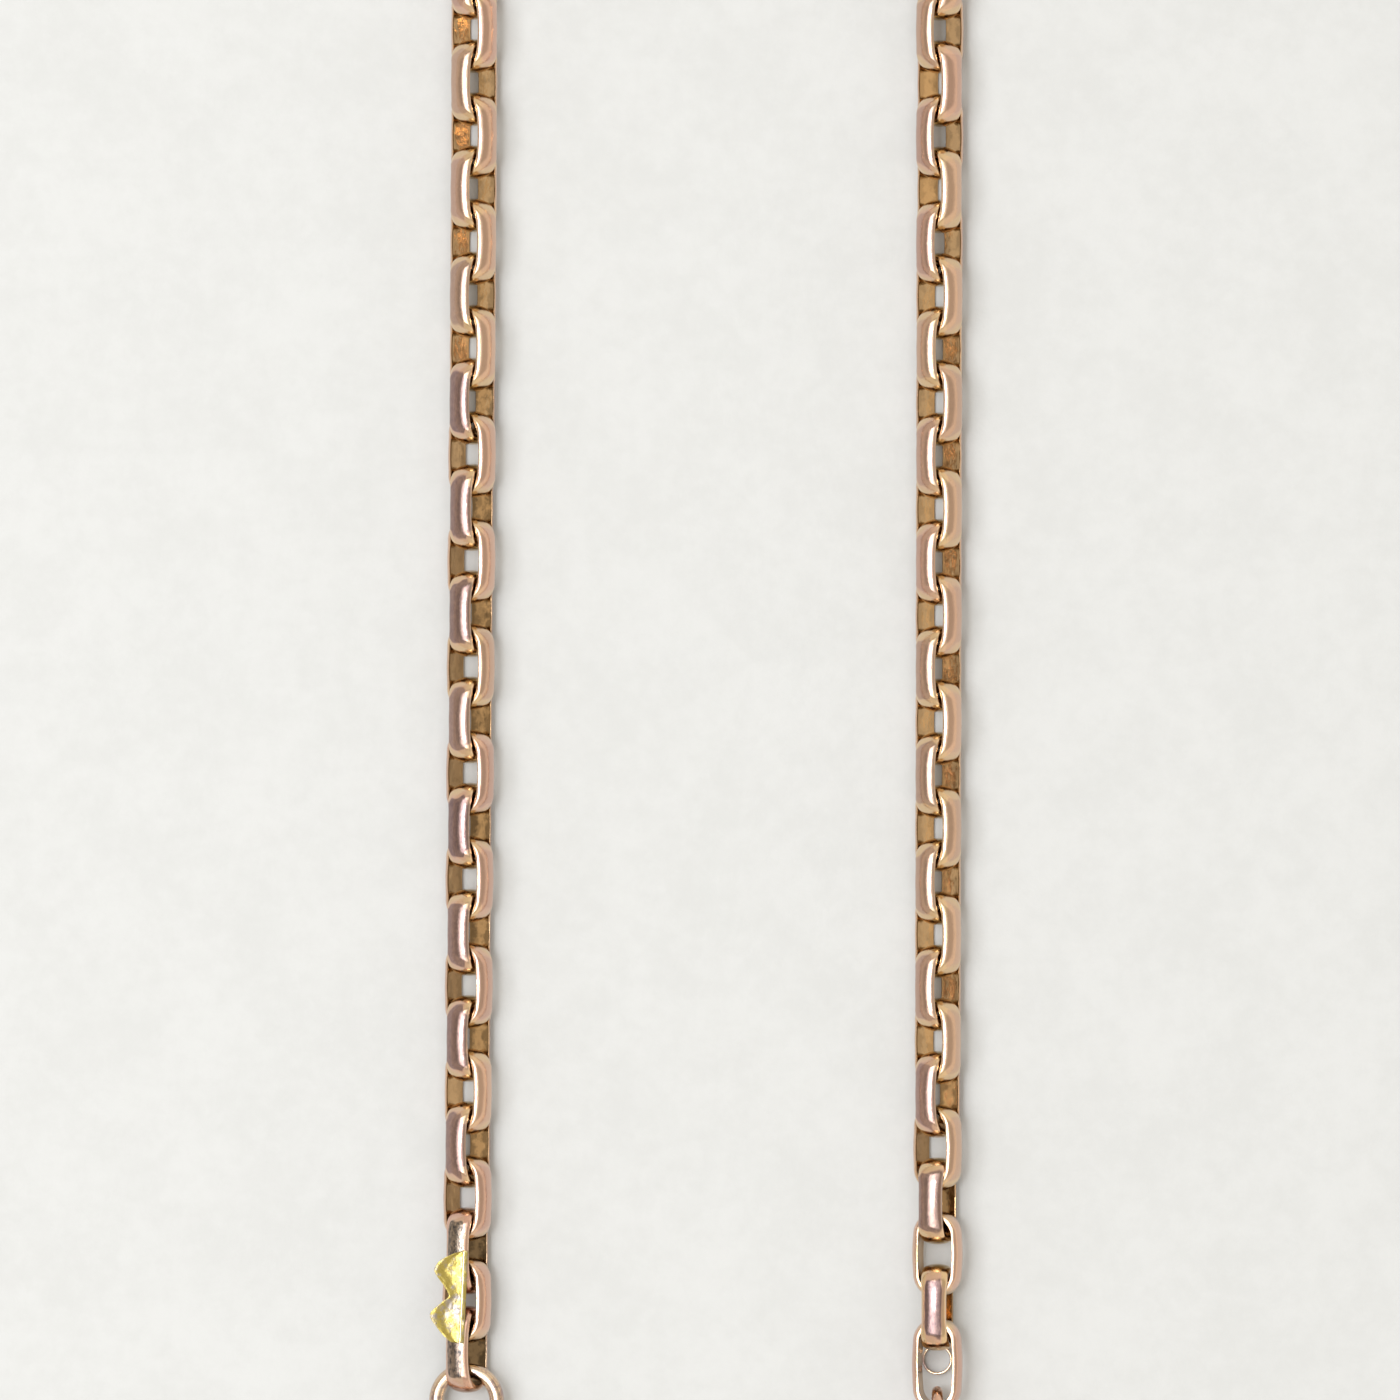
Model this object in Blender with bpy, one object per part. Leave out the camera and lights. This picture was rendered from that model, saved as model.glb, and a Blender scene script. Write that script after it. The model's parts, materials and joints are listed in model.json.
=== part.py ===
"""Pocket watch chain (single Albert), laid folded on a table. Metres, +Z up, strands along Y.

Every link is its own closed solid, hooked through its neighbours with a running clearance. The
links of the far fold are one solid, bridged where they cross. Counting starts at the middle of
the fold: link 0 is there, negative numbers run down the left strand, positive ones down the right.
"""

import math

import bmesh
import bpy
from mathutils import Matrix, Vector

MM = 0.001

# Driving dimensions: one link, an oval loop of half-round band.
BAND_THICKNESS = 0.80 * MM
BAND_WIDTH_SIDE = 2.50 * MM
BAND_WIDTH_END = 2.72 * MM
END_RADIUS = 2.45 * MM
HALF_STRAIGHT = 1.90 * MM
HALF_STRAIGHT_LAST = 2.30 * MM
SIDE_BULGE = 0.10 * MM
ARC_STEPS = 6

# The path of the chain's axis: two strands and a half circle between them.
AXIS_HEIGHT = 2.31 * MM
AXIS_RISE = 0.0085 * MM
LAST_LINK_LIFT = 0.24 * MM
FOLD_RADIUS = 23.25 * MM
FOLD_X = 0.75 * MM
FOLD_Y = 73.0 * MM
PITCH_LEFT = 5.31 * MM
PITCH_RIGHT = 5.32 * MM
CROWDED_FROM = 31
CROWDED_BY = 0.40 * MM
LEFT_LEAN = -0.0060
RIGHT_LEAN = -0.0020
LAST_LINK = 33
FOLD_LINK = 9
BRIDGE_RADIUS = 0.45 * MM

# Fittings.
END_RING_RADIUS = 3.05 * MM
END_RING_WIRE = 0.75 * MM
END_RING_TILT = math.radians(-8)
END_RING_SLACK = 0.22 * MM
EYE_RADIUS = 1.75 * MM
EYE_WIRE = 0.55 * MM
POST_RADIUS = 0.62 * MM
POST_HEAD_RADIUS = 1.0 * MM
COLLAR_RADIUS = 1.75 * MM
COLLAR_BORE = 0.74 * MM
COLLAR_LENGTH = 2.3 * MM
HOOK_HALF_X = 3.6 * MM
HOOK_HALF_Y = 6.1 * MM
HOOK_BAND = 1.8 * MM
HOOK_THICKNESS = 2.4 * MM
HOOK_START = math.radians(50)
HOOK_END = math.radians(322)
GATE_START = math.radians(33)
GATE_END = math.radians(-31)
CHEEK_RADIUS = 1.15 * MM
CHEEK_HALF = 1.28 * MM
GATE_THICKNESS = 1.7 * MM
GATE_BAND = 1.3 * MM
GATE_HUB_RADIUS = 1.05 * MM
TONGUE_THICKNESS = 0.8 * MM
SLOT_THICKNESS = 1.0 * MM
SPRING_THICKNESS = 0.2 * MM
SPRING_HALF_WIDTH = 0.3 * MM
SWIVEL_TILT = math.radians(3.4)
PIN_RADIUS = 0.35 * MM
PIN_BORE = 0.42 * MM
LOOSE_RING_RADIUS = 1.40 * MM
LOOSE_RING_WALL = 0.24 * MM
LOOSE_RING_WIDTH = 0.80 * MM
LOOSE_RING_TILT = math.radians(-6)
WIRE_RING_RADIUS = 2.28 * MM
WIRE_RING_STRAIGHT = 0.65 * MM
WIRE_RING_WIRE = 0.57 * MM
WIRE_RING_LIFT = 0.06 * MM
WIRE_RING_SLACK = 0.38 * MM
BAR_LENGTH = 30.0 * MM
BAR_WAIST_RADIUS = 0.95 * MM
BAR_KNOB_RADIUS = 1.75 * MM
BAR_EYE_GAP = 0.12 * MM
BAR_NECK_RADIUS = 0.45 * MM
BAR_COLLAR_WALL = 0.6 * MM
BAR_COLLAR_HALF = 0.75 * MM
BAR_EYE_RADIUS = 1.62 * MM
BAR_EYE_WIRE = 0.45 * MM
BAR_EYE_DROP = 3.75 * MM
PLATE_UNDERSIDE = 4.98 * MM
PLATE_THICKNESS = 0.34 * MM
PLATE_FOLD_WIDTH = 0.42 * MM
PLATE_FOLD_RISE = 0.17 * MM
PLATE_TIP_RISE = 0.14

# The origin is the middle of the footprint, on the table.
ORIGIN = Vector((5.4385, 3.805, -0.033)) * MM

MATERIALS = {
    "rose_gold": ((0.78, 0.50, 0.38), 0.22),
    "worn_silver": ((0.52, 0.49, 0.46), 0.32),
    "yellow_brass": ((0.78, 0.62, 0.22), 0.38),
    "pale_gold": ((0.80, 0.60, 0.40), 0.26),
    "spring_steel": ((0.42, 0.42, 0.44), 0.35),
}


def clear_scene():
    for obj in list(bpy.data.objects):
        bpy.data.objects.remove(obj, do_unlink=True)


def material(name):
    found = bpy.data.materials.get(name)
    if found:
        return found
    colour, roughness = MATERIALS[name]
    made = bpy.data.materials.new(name)
    made.use_nodes = True
    shader = made.node_tree.nodes["Principled BSDF"]
    shader.inputs["Base Color"].default_value = (*colour, 1)
    shader.inputs["Metallic"].default_value = 1
    shader.inputs["Roughness"].default_value = roughness
    made.diffuse_color = (*colour, 1)
    return made


def add_object(name, mesh_builder, look, pivot, smooth_angle=40):
    """One named solid whose origin is its pivot. The builder fills a bmesh before the shift by ORIGIN."""
    bm = bmesh.new()
    mesh_builder(bm)
    bmesh.ops.translate(bm, verts=bm.verts, vec=-pivot)
    bmesh.ops.recalc_face_normals(bm, faces=bm.faces)
    for face in bm.faces:
        face.smooth = True
    limit = math.radians(smooth_angle)
    for edge in bm.edges:
        edge.smooth = edge.calc_face_angle(0) < limit
    mesh = bpy.data.meshes.new(name)
    bm.to_mesh(mesh)
    bm.free()
    mesh.materials.append(material(look))
    obj = bpy.data.objects.new(name, mesh)
    bpy.context.scene.collection.objects.link(obj)
    obj.location = pivot - ORIGIN
    return obj


def boolean(obj, tool, operation):
    modifier = obj.modifiers.new(tool.name, "BOOLEAN")
    modifier.operation = operation
    modifier.object = tool
    tool.hide_render = True
    tool.display_type = "WIRE"


# ---- solids -------------------------------------------------------------------------------------


def skin(bm, rings, closed):
    """Quads between rings of points. An open run gets a cap at each end."""
    rows = [[bm.verts.new(point) for point in ring] for ring in rings]
    pairs = list(zip(rows, rows[1:] + rows[:1])) if closed else list(zip(rows, rows[1:]))
    for first, second in pairs:
        count = len(first)
        for i in range(count):
            k = (i + 1) % count
            bm.faces.new((first[i], first[k], second[k], second[i]))
    if not closed:
        bm.faces.new(rows[0][::-1])
        bm.faces.new(rows[-1])


def circle(centre, across, up, radius, count):
    turns = [2 * math.pi * (i + 0.5) / count for i in range(count)]
    return [centre + radius * (math.cos(t) * across + math.sin(t) * up) for t in turns]


def ring_solid(bm, centre, normal, radius, wire, count=20, sides=8):
    """A round-wire ring."""
    normal = normal.normalized()
    across = normal.orthogonal().normalized()
    up = normal.cross(across)
    rings = []
    for i in range(count):
        turn = 2 * math.pi * i / count
        out = math.cos(turn) * across + math.sin(turn) * up
        rings.append(circle(centre + radius * out, out, normal, wire, sides))
    skin(bm, rings, True)


def turned_solid(bm, start, direction, profile, sides=14):
    """A solid turned round an axis, from (distance along it, radius) pairs."""
    direction = direction.normalized()
    across = direction.orthogonal().normalized()
    up = direction.cross(across)
    rings = [circle(start + d * direction, across, up, r, sides) for d, r in profile]
    skin(bm, rings, False)


def bored_solid(bm, start, direction, profile, bore, sides=16):
    """A turned solid with a round hole right through it."""
    direction = direction.normalized()
    across = direction.orthogonal().normalized()
    up = direction.cross(across)
    rings = [circle(start + d * direction, across, up, r, sides) for d, r in profile]
    ends = [profile[-1][0], profile[0][0]]
    rings += [circle(start + d * direction, across, up, bore, sides) for d in ends]
    skin(bm, rings, True)


# ---- links --------------------------------------------------------------------------------------


def path_point(number):
    """Where link `number` sits on the chain's axis, and the direction of travel there."""
    pitch = PITCH_LEFT if number < 0 else PITCH_RIGHT
    along = number * pitch
    if number == LAST_LINK:
        along += HALF_STRAIGHT_LAST - HALF_STRAIGHT
    if number < -CROWDED_FROM:
        along -= CROWDED_BY * (number + CROWDED_FROM)
    quarter = FOLD_RADIUS * math.pi / 2
    if abs(along) <= quarter:
        turn = along / FOLD_RADIUS
        place = Vector((FOLD_X, FOLD_Y)) + FOLD_RADIUS * Vector((math.sin(turn), math.cos(turn)))
        travel = Vector((math.cos(turn), -math.sin(turn)))
    else:
        side = 1 if along > 0 else -1
        down = abs(along) - quarter
        lean = RIGHT_LEAN if side > 0 else LEFT_LEAN
        place = Vector((FOLD_X + side * FOLD_RADIUS + lean * down, FOLD_Y - down))
        travel = Vector((lean * side, -side)).normalized()
    height = AXIS_HEIGHT + AXIS_RISE * abs(roll_drift(number))
    if number == LAST_LINK:
        height += LAST_LINK_LIFT
    return Vector((place.x, place.y, height)), Vector((travel.x, travel.y, 0))


def ease(value, start, end):
    share = min(max((value - start) / (end - start), 0), 1)
    return share * share * (3 - 2 * share)


def roll_drift(number):
    """Degrees by which odd links stand steeper, and even links flatter, than 45."""
    if number < 0:
        middle = 10 * ease(-number, 14, 17) * (1 - ease(-number, 26, 30))
        return middle + 15 * ease(-number, 28, 31)
    top = 7 * (1 - ease(number, 11, 13))
    return top - 33 * ease(number, 27, 32)


def half_straight(number):
    return HALF_STRAIGHT_LAST if number == LAST_LINK else HALF_STRAIGHT


def link_frame(number):
    """Axes of a link: along the chain, across its opening, and square to the loop."""
    centre, travel = path_point(number)
    sideways = Vector((0, 0, 1)).cross(travel)
    odd = number % 2
    roll = math.radians(45 + roll_drift(number) * (1 if odd else -1))
    across = math.cos(roll) * sideways * (1 if odd else -1) + math.sin(roll) * Vector((0, 0, 1))
    return centre, travel, across, travel.cross(across)


def band_section(width):
    """(outwards from the inner face, sideways) points of the half-round band."""
    half = width / 2
    right = [(0, 0.86), (0.30, 1.0), (0.97, 0.42)]
    points = right + [(out, -side) for out, side in reversed(right)]
    return [(out * BAND_THICKNESS, side * half) for out, side in points]


def link_solid(bm, number):
    centre, along, across, normal = link_frame(number)
    reach = half_straight(number)
    step = math.pi / ARC_STEPS
    rings = []
    for end in (1, -1):
        for turn in [(i - ARC_STEPS / 2) * step for i in range(ARC_STEPS + 1)]:
            out = end * (math.cos(turn) * along + math.sin(turn) * across)
            share = abs(math.sin(turn))
            width = BAND_WIDTH_END + (BAND_WIDTH_SIDE - BAND_WIDTH_END) * share**4
            inner = (END_RADIUS - BAND_THICKNESS) / math.cos(step / 2)
            hub = centre + end * reach * along
            rings.append([hub + (inner + o) * out + w * normal for o, w in band_section(width)])
        inner = END_RADIUS - BAND_THICKNESS + SIDE_BULGE
        section = band_section(BAND_WIDTH_SIDE)
        rings.append([centre + (inner + o) * end * across + w * normal for o, w in section])
    skin(bm, rings, True)


def outward(number):
    """Away from the fold, along the strand."""
    travel = link_frame(number)[1]
    return travel if number > 0 else -travel


def joint_pivot(number):
    """Centre of the end arc of link `number` that carries the next link out."""
    return link_frame(number)[0] + half_straight(number) * outward(number)


def bridge_solid(bm, number):
    """A short rod inside the crossing of a link and the next one, which joins their end bands."""
    here = path_point(number)[0]
    there = path_point(number + 1)[0]
    reach = HALF_STRAIGHT + END_RADIUS - 0.35 * BAND_THICKNESS - (there - here).length / 2
    profile = [(-reach, BRIDGE_RADIUS), (reach, BRIDGE_RADIUS)]
    turned_solid(bm, (here + there) / 2, there - here, profile, 8)


def fold_solid(numbers):
    """The fold's links as one solid: a Boolean union of the loops and a bridge at each crossing."""
    tools = bpy.data.collections.new("fold_tools")
    bpy.context.scene.collection.children.link(tools)
    tools.hide_render = True
    pivot = path_point(0)[0]
    fold = add_object("fold", lambda bm: link_solid(bm, numbers[0]), "rose_gold", pivot)
    builders = [(link_solid, number) for number in numbers[1:]]
    builders += [(bridge_solid, number) for number in numbers[:-1]]
    for order, (builder, number) in enumerate(builders):
        tool = add_object(f"tool_fold_{order}", lambda bm: builder(bm, number), "rose_gold", pivot)
        bpy.context.scene.collection.objects.unlink(tool)
        tools.objects.link(tool)
        tool.hide_render = True
        tool.display_type = "WIRE"
    modifier = fold.modifiers.new("union", "BOOLEAN")
    modifier.operation = "UNION"
    modifier.operand_type = "COLLECTION"
    modifier.collection = tools


def link_name(number):
    side = "left" if number < 0 else "right"
    worn = number in (-31, -33)
    return f"{'worn_link' if worn else 'link'}_{side}_{abs(number) - FOLD_LINK:02d}"


def build_strands():
    for side in (-1, 1):
        for count in range(FOLD_LINK + 1, LAST_LINK + 1):
            number = side * count
            look = "worn_silver" if number in (-31, -33) else "rose_gold"
            pivot = joint_pivot(number - side)
            add_object(link_name(number), lambda bm, n=number: link_solid(bm, n), look, pivot)


# ---- fittings on the left end -------------------------------------------------------------------


def end_ring_centre():
    pivot = joint_pivot(-LAST_LINK)
    return pivot - Vector((0, END_RING_SLACK + END_RING_RADIUS, 0))


def end_ring_solid(bm):
    normal = Matrix.Rotation(END_RING_TILT, 3, "Y") @ Vector((0, 0, 1))
    ring_solid(bm, end_ring_centre(), normal, END_RING_RADIUS, END_RING_WIRE, 24, 8)


def swung(point):
    """The swivel hangs from the end ring with its far end lowered onto the table."""
    turn = Matrix.Rotation(SWIVEL_TILT, 3, "X")
    return eye_centre() + turn @ (point - eye_centre())


def add_swivel_object(name, mesh_builder, look, pivot):
    """A piece of the swivel, drawn level and then tilted about the eye."""

    def build(bm):
        mesh_builder(bm)
        turn = Matrix.Rotation(SWIVEL_TILT, 3, "X")
        bmesh.ops.rotate(bm, verts=bm.verts, cent=eye_centre(), matrix=turn)

    return add_object(name, build, look, swung(pivot))


def eye_centre():
    return end_ring_centre() + Vector((0, -END_RING_RADIUS - 0.28 * MM, 0))


def collar_start():
    return eye_centre() + Vector((0, -EYE_RADIUS - EYE_WIRE - 0.75 * MM, 0))


def eye_solid(bm):
    ring_solid(bm, eye_centre(), Vector((1, 0, 0)), EYE_RADIUS, EYE_WIRE, 20, 8)


def post_solid(bm):
    start = eye_centre() + Vector((0, -EYE_RADIUS, 0))
    depth = (start - collar_start()).y + COLLAR_LENGTH + 0.15 * MM
    profile = [
        (0, POST_RADIUS),
        (depth, POST_RADIUS),
        (depth + 0.02 * MM, POST_HEAD_RADIUS),
        (depth + 0.55 * MM, POST_HEAD_RADIUS),
        (depth + 0.75 * MM, 0.7 * POST_HEAD_RADIUS),
    ]
    turned_solid(bm, start, Vector((0, -1, 0)), profile, 12)


def hook_centre():
    return collar_start() + Vector((0, -COLLAR_LENGTH + HOOK_BAND / 2 - HOOK_HALF_Y, 0))


def hook_point(turn, out=0.0):
    """A point on the hook's oval, `out` beyond its middle line."""
    middle = Vector((HOOK_HALF_X * math.cos(turn), HOOK_HALF_Y * math.sin(turn), 0))
    normal = Vector((math.cos(turn) / HOOK_HALF_X, math.sin(turn) / HOOK_HALF_Y, 0)).normalized()
    return hook_centre() + middle + out * normal


def bar_rings(turns, band, thickness, bevel):
    """Eight-sided sections of a flat bar that follows the hook's oval."""
    half = band / 2
    deep = thickness / 2
    upper = [(half, deep - bevel), (half - bevel, deep), (bevel - half, deep), (-half, deep - bevel)]
    corners = upper + [(-out, -height) for out, height in upper]
    return [[hook_point(turn, out) + Vector((0, 0, height)) for out, height in corners] for turn in turns]


def gate_pivot():
    return hook_point(HOOK_START)


def spread(start, end, count):
    return [start + (end - start) * i / (count - 1) for i in range(count)]


def hook_solid(bm):
    skin(bm, bar_rings(spread(HOOK_START, HOOK_END, 22), HOOK_BAND, HOOK_THICKNESS, 0.35 * MM), False)


def hook_cheeks(bm):
    bevel = 0.2 * MM
    rise = [(-CHEEK_HALF, CHEEK_RADIUS - bevel), (bevel - CHEEK_HALF, CHEEK_RADIUS)]
    profile = rise + [(-d, r) for d, r in reversed(rise)]
    turned_solid(bm, gate_pivot(), Vector((0, 0, 1)), profile, 16)


def hook_collar(bm):
    profile = [
        (0, COLLAR_RADIUS - 0.3 * MM),
        (0.3 * MM, COLLAR_RADIUS),
        (COLLAR_LENGTH, COLLAR_RADIUS),
    ]
    turned_solid(bm, collar_start(), Vector((0, -1, 0)), profile, 16)


def collar_bore(bm):
    start = collar_start() + Vector((0, 1, 0)) * MM
    length = COLLAR_LENGTH + 1.02 * MM
    turned_solid(bm, start, Vector((0, -1, 0)), [(0, COLLAR_BORE), (length, COLLAR_BORE)], 16)


def head_room(bm):
    start = collar_start() + Vector((0, -COLLAR_LENGTH, 0))
    profile = [(0, POST_HEAD_RADIUS + 0.2 * MM), (2.2 * MM, POST_HEAD_RADIUS + 0.2 * MM)]
    turned_solid(bm, start, Vector((0, -1, 0)), profile, 16)


def gate_slot(bm):
    reach = GATE_HUB_RADIUS + 0.35 * MM
    half = SLOT_THICKNESS / 2
    profile = [(-half, reach), (half, reach)]
    turned_solid(bm, gate_pivot(), Vector((0, 0, 1)), profile, 20)


def pin_hole(bm):
    reach = HOOK_THICKNESS
    turned_solid(bm, gate_pivot(), Vector((0, 0, 1)), [(-reach, PIN_BORE), (reach, PIN_BORE)], 12)


def pin_solid(bm):
    profile = [(-CHEEK_HALF, PIN_RADIUS), (CHEEK_HALF, PIN_RADIUS)]
    turned_solid(bm, gate_pivot(), Vector((0, 0, 1)), profile, 10)


def gate_solid(bm):
    turns = spread(GATE_START, GATE_END, 8)
    skin(bm, bar_rings(turns, GATE_BAND, GATE_THICKNESS, 0.25 * MM), False)


def gate_tongue(bm):
    turns = spread(HOOK_START, GATE_START - math.radians(4), 5)
    skin(bm, bar_rings(turns, GATE_BAND, TONGUE_THICKNESS, 0.15 * MM), False)


def gate_hub(bm):
    half = TONGUE_THICKNESS / 2
    profile = [(-half, GATE_HUB_RADIUS), (half, GATE_HUB_RADIUS)]
    turned_solid(bm, gate_pivot(), Vector((0, 0, 1)), profile, 18)


def spring_solid(bm):
    """A bent leaf that lies along the gate's inner face, with its root in the hook's slot."""
    rings = []
    for turn in spread(math.radians(46), math.radians(14), 7):
        bend = 0.25 * MM * ease(turn, math.radians(17), math.radians(52))
        outer = -GATE_BAND / 2 - 0.2 * MM - bend
        near = hook_point(turn, outer)
        far = hook_point(turn, outer - SPRING_THICKNESS)
        lift = Vector((0, 0, SPRING_HALF_WIDTH))
        rings.append([near + lift, far + lift, far - lift, near - lift])
    skin(bm, rings, False)


def plate_outline():
    """Left edge of the mending plate in plan: two pointed lobes and the notch between them."""
    upper_lobe = [(-24.85, -55.35), (-25.95, -55.95), (-26.50, -56.75), (-26.25, -57.45), (-25.60, -58.35)]
    notch = [(-25.04, -59.45), (-25.70, -60.05)]
    lower_lobe = [(-26.55, -60.75), (-26.95, -61.35), (-26.60, -62.10), (-25.80, -63.15), (-25.00, -63.95)]
    edge = [(-23.70, -54.95)] + upper_lobe + notch + lower_lobe + [(-24.10, -64.20)]
    return [Vector(point) * MM for point in edge]


def plate_solid(bm):
    """The plate: a raised fold down its right side, and cupped lobes that rise towards their tips."""
    outline = plate_outline()
    top = outline[0]
    bottom = outline[-1]
    rings = []
    for edge in outline:
        share = (top.y - edge.y) / (top.y - bottom.y)
        fold = top.x + 0.15 * MM - PLATE_FOLD_WIDTH * share
        reach = max(fold - edge.x, 0.1 * MM)
        tip = (fold - reach, 0.05 * MM + PLATE_TIP_RISE * reach)
        middle = (fold - reach / 2, 0)
        lower = [(fold + PLATE_FOLD_WIDTH, 0), (fold, 0.03 * MM), middle, tip]
        upper = [tip, middle, (fold, PLATE_FOLD_RISE), (fold + PLATE_FOLD_WIDTH, -0.06 * MM)]
        ring = [Vector((x, edge.y, PLATE_UNDERSIDE + rise)) for x, rise in lower]
        ring += [Vector((x, edge.y, PLATE_UNDERSIDE + PLATE_THICKNESS + rise)) for x, rise in upper]
        rings.append(ring)
    skin(bm, rings, False)


def build_left_fittings():
    add_object("end_ring", end_ring_solid, "pale_gold", joint_pivot(-LAST_LINK))
    add_object("mending_plate", plate_solid, "yellow_brass", joint_pivot(-30))
    eye_pivot = end_ring_centre() + Vector((0, -END_RING_RADIUS, 0))
    eye = add_swivel_object("swivel_eye", eye_solid, "pale_gold", eye_pivot)
    boolean(eye, add_swivel_object("tool_post", post_solid, "pale_gold", eye_pivot), "UNION")
    hook = add_swivel_object("swivel_hook", hook_solid, "pale_gold", collar_start())
    for name, build, operation in (
        ("tool_cheeks", hook_cheeks, "UNION"),
        ("tool_collar", hook_collar, "UNION"),
        ("tool_bore", collar_bore, "DIFFERENCE"),
        ("tool_head_room", head_room, "DIFFERENCE"),
        ("tool_slot", gate_slot, "DIFFERENCE"),
        ("tool_pin_hole", pin_hole, "DIFFERENCE"),
    ):
        boolean(hook, add_swivel_object(name, build, "pale_gold", collar_start()), operation)
    gate = add_swivel_object("swivel_gate", gate_solid, "pale_gold", gate_pivot())
    for name, build, operation in (
        ("tool_tongue", gate_tongue, "UNION"),
        ("tool_hub", gate_hub, "UNION"),
        ("tool_gate_hole", pin_hole, "DIFFERENCE"),
    ):
        boolean(gate, add_swivel_object(name, build, "pale_gold", gate_pivot()), operation)
    add_swivel_object("gate_pin", pin_solid, "pale_gold", gate_pivot())
    add_swivel_object("gate_spring", spring_solid, "spring_steel", gate_pivot())


# ---- fittings on the right end ------------------------------------------------------------------


def last_hub():
    return joint_pivot(LAST_LINK)


def loose_ring_centre():
    centre = path_point(LAST_LINK)[0]
    return Vector((centre.x + 0.05 * MM, centre.y + 0.42 * MM, 0.57 * MM))


def loose_ring_solid(bm):
    tilt = Matrix.Rotation(LOOSE_RING_TILT, 3, "Y")
    up = tilt @ Vector((0, 0, 1))
    inner = LOOSE_RING_RADIUS - LOOSE_RING_WALL / 2
    outer = LOOSE_RING_RADIUS + LOOSE_RING_WALL / 2
    half = LOOSE_RING_WIDTH / 2
    section = ((inner, half), (outer, half), (outer, -half), (inner, -half))
    rings = []
    for turn in spread(0, 2 * math.pi, 21)[:-1]:
        out = tilt @ Vector((math.cos(turn), math.sin(turn), 0))
        rings.append([loose_ring_centre() + r * out + h * up for r, h in section])
    skin(bm, rings, True)


def wire_ring_centre():
    drop = WIRE_RING_SLACK + WIRE_RING_RADIUS + WIRE_RING_STRAIGHT
    return last_hub() + Vector((0, -drop, WIRE_RING_LIFT))


def wire_ring_solid(bm):
    """An upright ring of round wire, slightly longer than it is high."""
    rings = []
    for i in range(22):
        turn = 2 * math.pi * (i + 0.5) / 22
        out = Vector((0, math.cos(turn), math.sin(turn)))
        shift = Vector((0, math.copysign(WIRE_RING_STRAIGHT, out.y), 0))
        place = wire_ring_centre() + shift + WIRE_RING_RADIUS * out
        rings.append(circle(place, out, Vector((1, 0, 0)), WIRE_RING_WIRE, 8))
    skin(bm, rings, True)


def bar_eye_centre():
    return wire_ring_centre() + Vector((0, -WIRE_RING_RADIUS - WIRE_RING_STRAIGHT - 0.2 * MM, 0))


def bar_centre():
    """The bar rests on the table, one eye length from the ring."""
    drop = BAR_KNOB_RADIUS - bar_eye_centre().z
    return bar_eye_centre() + Vector((0, -math.sqrt(BAR_EYE_DROP**2 - drop**2), drop))


def bar_eye_axis():
    return (bar_centre() - bar_eye_centre()).normalized()


def bar_eye_solid(bm):
    """The bar's loop, which the wire ring passes through."""
    normal = bar_eye_axis().cross(Vector((-1, 0, 0)))
    ring_solid(bm, bar_eye_centre(), normal, BAR_EYE_RADIUS, BAR_EYE_WIRE, 18, 8)


def bar_neck_solid(bm):
    end = BAR_EYE_DROP - BAR_WAIST_RADIUS - BAR_EYE_GAP - BAR_COLLAR_WALL / 2
    profile = [(BAR_EYE_RADIUS, BAR_NECK_RADIUS), (end, BAR_NECK_RADIUS)]
    turned_solid(bm, bar_eye_centre(), bar_eye_axis(), profile, 12)


def bar_collar_solid(bm):
    bore = BAR_WAIST_RADIUS + BAR_EYE_GAP
    outer = bore + BAR_COLLAR_WALL
    bevel = 0.15 * MM
    rise = [(-BAR_COLLAR_HALF, outer - bevel), (bevel - BAR_COLLAR_HALF, outer)]
    profile = rise + [(-d, r) for d, r in reversed(rise)]
    bored_solid(bm, bar_centre(), Vector((1, 0, 0)), profile, bore, 18)


def bar_solid(bm):
    half = BAR_LENGTH / 2
    one_side = [
        (half, 0.55 * MM),
        (half - 0.35 * MM, 1.25 * MM),
        (half - 1.1 * MM, BAR_KNOB_RADIUS),
        (half - 1.9 * MM, 1.35 * MM),
        (half - 2.3 * MM, 0.95 * MM),
        (half - 2.8 * MM, 1.05 * MM),
        (half - 4.0 * MM, 1.15 * MM),
        (3.2 * MM, 1.35 * MM),
        (2.2 * MM, 1.55 * MM),
        (0.95 * MM, 1.60 * MM),
        (0.93 * MM, BAR_WAIST_RADIUS),
    ]
    profile = [(-d, r) for d, r in one_side] + [(d, r) for d, r in reversed(one_side)]
    turned_solid(bm, bar_centre(), Vector((1, 0, 0)), profile, 16)


def build_right_fittings():
    add_object("loose_ring", loose_ring_solid, "pale_gold", loose_ring_centre())
    add_object("wire_ring", wire_ring_solid, "rose_gold", last_hub())
    eye_pivot = bar_eye_centre() + Vector((0, 0.2 * MM, 0))
    eye = add_object("bar_eye", bar_eye_solid, "rose_gold", eye_pivot)
    boolean(eye, add_object("tool_bar_neck", bar_neck_solid, "rose_gold", eye_pivot), "UNION")
    boolean(eye, add_object("tool_bar_collar", bar_collar_solid, "rose_gold", eye_pivot), "UNION")
    add_object("t_bar", bar_solid, "rose_gold", bar_centre())


clear_scene()
fold_solid(list(range(-FOLD_LINK, FOLD_LINK + 1)))
build_strands()
build_left_fittings()
build_right_fittings()
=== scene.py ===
"""Looks of the pocket watch chain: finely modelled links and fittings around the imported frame."""

import json
import math
import random

import bmesh
import bpy
from mathutils import Matrix, Vector, noise

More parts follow.
